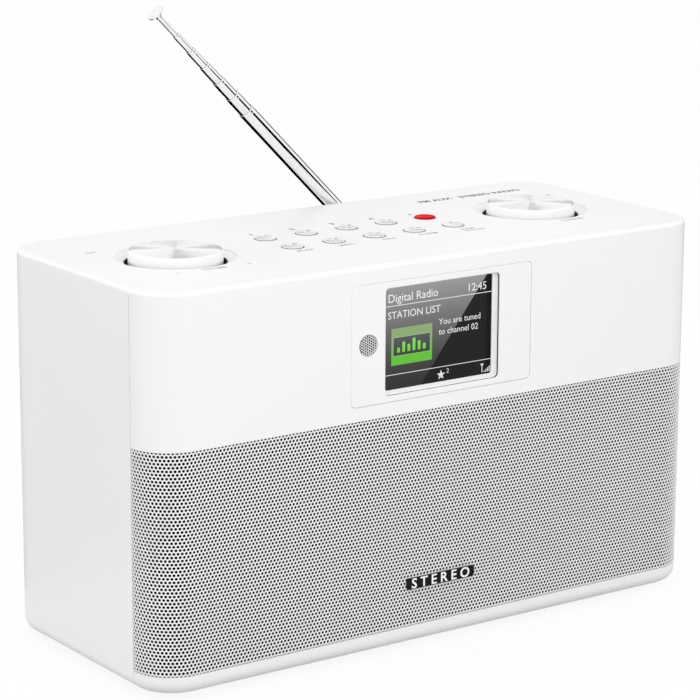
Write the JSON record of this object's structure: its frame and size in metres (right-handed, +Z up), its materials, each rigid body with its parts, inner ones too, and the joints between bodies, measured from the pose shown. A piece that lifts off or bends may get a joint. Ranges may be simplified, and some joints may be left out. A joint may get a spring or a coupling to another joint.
{
  "type": "tabletop radio",
  "caption": "White tabletop stereo radio with wrapped perforated grille, colour display, push-and-turn knobs, top buttons and a folding telescopic antenna.",
  "frame": {"origin": "on the table, under the middle of the radio's outline from the badge's face to the antenna's tip disc", "axes": "+Z up, front and display towards -Y, +X to the viewer's right"},
  "size_m": [0.3, 0.1394, 0.2788],
  "materials": {
    "cabinet_white": "smooth moulded white, half gloss",
    "grille_white": "perforated sheet steel with white powder paint",
    "grille_cloth": "matt black acoustic cloth",
    "badge_dark": "dark plate with a bright rim, left blank",
    "screen_glass": "clear polished cover glass",
    "module_metal": "pressed frame",
    "sensor_mesh": "fine woven or perforated disc",
    "knob_silver": "pale anodised, spun face with fine rings",
    "shaft_metal": "turned",
    "switch_grey": "moulded",
    "button_white": "moulded with a dished top",
    "button_red": "moulded red with a dished top",
    "circuit_board": "green solder mask",
    "dark_steel": "blackened pressed steel",
    "cone_paper": "black paper cone",
    "magnet_grey": "sintered ferrite",
    "black_plastic": "moulded black",
    "foot_rubber": "grey rubber",
    "antenna_chrome": "polished chrome plate on drawn brass tube"
  },
  "bodies": {
    "chassis": {"rear_cabinet": "cabinet_white", "front_frame": "cabinet_white", "top_panel": "cabinet_white", "display_bezel": "cabinet_white", "speaker_grille": "grille_white", "grille_cloth": "grille_cloth", "badge_plate": "badge_dark", "display_window": "screen_glass", "display_module": "module_metal", "sensor_mesh": "sensor_mesh", "volume_encoder": "switch_grey", "tuning_encoder": "switch_grey", "control_board": "circuit_board", "main_board": "circuit_board", "left_speaker_basket": "dark_steel", "left_speaker_cone": "cone_paper", "left_speaker_magnet": "magnet_grey", "right_speaker_basket": "dark_steel", "right_speaker_cone": "cone_paper", "right_speaker_magnet": "magnet_grey", "power_socket": "black_plastic", "aux_socket": "black_plastic", "socket_plate": "black_plastic", "bass_port": "black_plastic", "foot_front_left": "foot_rubber", "foot_rear_left": "foot_rubber", "foot_front_right": "foot_rubber", "foot_rear_right": "foot_rubber", "rear_screw_1": "dark_steel", "rear_screw_2": "dark_steel", "rear_screw_3": "dark_steel", "rear_screw_4": "dark_steel", "antenna_bush": "black_plastic"},
    "volume_switch": {"volume_plunger": "black_plastic"},
    "volume_control": {"volume_knob": "knob_silver", "volume_knob_cap": "knob_silver", "volume_shaft": "shaft_metal"},
    "tuning_switch": {"tuning_plunger": "black_plastic"},
    "tuning_control": {"tuning_knob": "knob_silver", "tuning_knob_cap": "knob_silver", "tuning_shaft": "shaft_metal"},
    "key_1": {"button_1": "button_white"},
    "key_2": {"button_2": "button_white"},
    "key_3": {"button_3": "button_white"},
    "key_4": {"button_4": "button_white"},
    "key_5": {"button_5": "button_red"},
    "key_6": {"button_6": "button_white"},
    "key_7": {"button_7": "button_white"},
    "key_8": {"button_8": "button_white"},
    "key_9": {"button_9": "button_white"},
    "key_10": {"button_10": "button_white"},
    "antenna_swivel_base": {"antenna_rotor": "antenna_chrome", "antenna_pin": "antenna_chrome"},
    "antenna_tube_1": {"antenna_section_1": "antenna_chrome"},
    "antenna_tube_2": {"antenna_section_2": "antenna_chrome"},
    "antenna_tube_3": {"antenna_section_3": "antenna_chrome"},
    "antenna_tube_4": {"antenna_section_4": "antenna_chrome"},
    "antenna_tube_5": {"antenna_section_5": "antenna_chrome"},
    "antenna_tube_6": {"antenna_section_6": "antenna_chrome"},
    "antenna_tip": {"antenna_section_7": "antenna_chrome"}
  },
  "joints": [
    {"name": "volume_push", "type": "slide", "parent": "chassis", "child": "volume_switch", "axis": [0, 0, -1], "range_m": [0, 0.0006], "stiffness_N_per_m": 3000, "springref_m": -0.0003},
    {"name": "volume_turn", "type": "hinge", "parent": "volume_switch", "child": "volume_control", "pos_m": [-0.099, -0.0042, 0.1783], "axis": [0, 0, 1], "continuous": true},
    {"name": "tuning_push", "type": "slide", "parent": "chassis", "child": "tuning_switch", "axis": [0, 0, -1], "range_m": [0, 0.0006], "stiffness_N_per_m": 3000, "springref_m": -0.0003},
    {"name": "tuning_turn", "type": "hinge", "parent": "tuning_switch", "child": "tuning_control", "pos_m": [0.099, -0.0042, 0.1783], "axis": [0, 0, 1], "continuous": true},
    {"name": "button_1_press", "type": "slide", "parent": "chassis", "child": "key_1", "axis": [0, 0, -1], "range_m": [0, 0.0006], "stiffness_N_per_m": 1500, "springref_m": -0.0003},
    {"name": "button_2_press", "type": "slide", "parent": "chassis", "child": "key_2", "axis": [0, 0, -1], "range_m": [0, 0.0006], "stiffness_N_per_m": 1500, "springref_m": -0.0003},
    {"name": "button_3_press", "type": "slide", "parent": "chassis", "child": "key_3", "axis": [0, 0, -1], "range_m": [0, 0.0006], "stiffness_N_per_m": 1500, "springref_m": -0.0003},
    {"name": "button_4_press", "type": "slide", "parent": "chassis", "child": "key_4", "axis": [0, 0, -1], "range_m": [0, 0.0006], "stiffness_N_per_m": 1500, "springref_m": -0.0003},
    {"name": "button_5_press", "type": "slide", "parent": "chassis", "child": "key_5", "axis": [0, 0, -1], "range_m": [0, 0.0006], "stiffness_N_per_m": 1500, "springref_m": -0.0003},
    {"name": "button_6_press", "type": "slide", "parent": "chassis", "child": "key_6", "axis": [0, 0, -1], "range_m": [0, 0.0006], "stiffness_N_per_m": 1500, "springref_m": -0.0003},
    {"name": "button_7_press", "type": "slide", "parent": "chassis", "child": "key_7", "axis": [0, 0, -1], "range_m": [0, 0.0006], "stiffness_N_per_m": 1500, "springref_m": -0.0003},
    {"name": "button_8_press", "type": "slide", "parent": "chassis", "child": "key_8", "axis": [0, 0, -1], "range_m": [0, 0.0006], "stiffness_N_per_m": 1500, "springref_m": -0.0003},
    {"name": "button_9_press", "type": "slide", "parent": "chassis", "child": "key_9", "axis": [0, 0, -1], "range_m": [0, 0.0006], "stiffness_N_per_m": 1500, "springref_m": -0.0003},
    {"name": "button_10_press", "type": "slide", "parent": "chassis", "child": "key_10", "axis": [0, 0, -1], "range_m": [0, 0.0006], "stiffness_N_per_m": 1500, "springref_m": -0.0003},
    {"name": "antenna_swivel", "type": "hinge", "parent": "chassis", "child": "antenna_swivel_base", "pos_m": [0.06, 0.0653, 0.1498], "axis": [0, 1, 0], "range_deg": [-45, 135]},
    {"name": "antenna_fold", "type": "hinge", "parent": "antenna_swivel_base", "child": "antenna_tube_1", "pos_m": [0.06, 0.0653, 0.1498], "axis": [-0.7071, 0, -0.7071], "range_deg": [0, 90]},
    {"name": "antenna_slide_2", "type": "slide", "parent": "antenna_tube_1", "child": "antenna_tube_2", "axis": [-0.7071, 0, 0.7071], "range_m": [-0.0097, 0.072]},
    {"name": "antenna_slide_3", "type": "slide", "parent": "antenna_tube_2", "child": "antenna_tube_3", "axis": [-0.7071, 0, 0.7071], "range_m": [-0.0097, 0.072]},
    {"name": "antenna_slide_4", "type": "slide", "parent": "antenna_tube_3", "child": "antenna_tube_4", "axis": [-0.7071, 0, 0.7071], "range_m": [-0.0097, 0.072]},
    {"name": "antenna_slide_5", "type": "slide", "parent": "antenna_tube_4", "child": "antenna_tube_5", "axis": [-0.7071, 0, 0.7071], "range_m": [-0.0097, 0.072]},
    {"name": "antenna_slide_6", "type": "slide", "parent": "antenna_tube_5", "child": "antenna_tube_6", "axis": [-0.7071, 0, 0.7071], "range_m": [-0.0097, 0.072]},
    {"name": "antenna_slide_7", "type": "slide", "parent": "antenna_tube_6", "child": "antenna_tip", "axis": [-0.7071, 0, 0.7071], "range_m": [-0.0118, 0.068]}
  ]
}
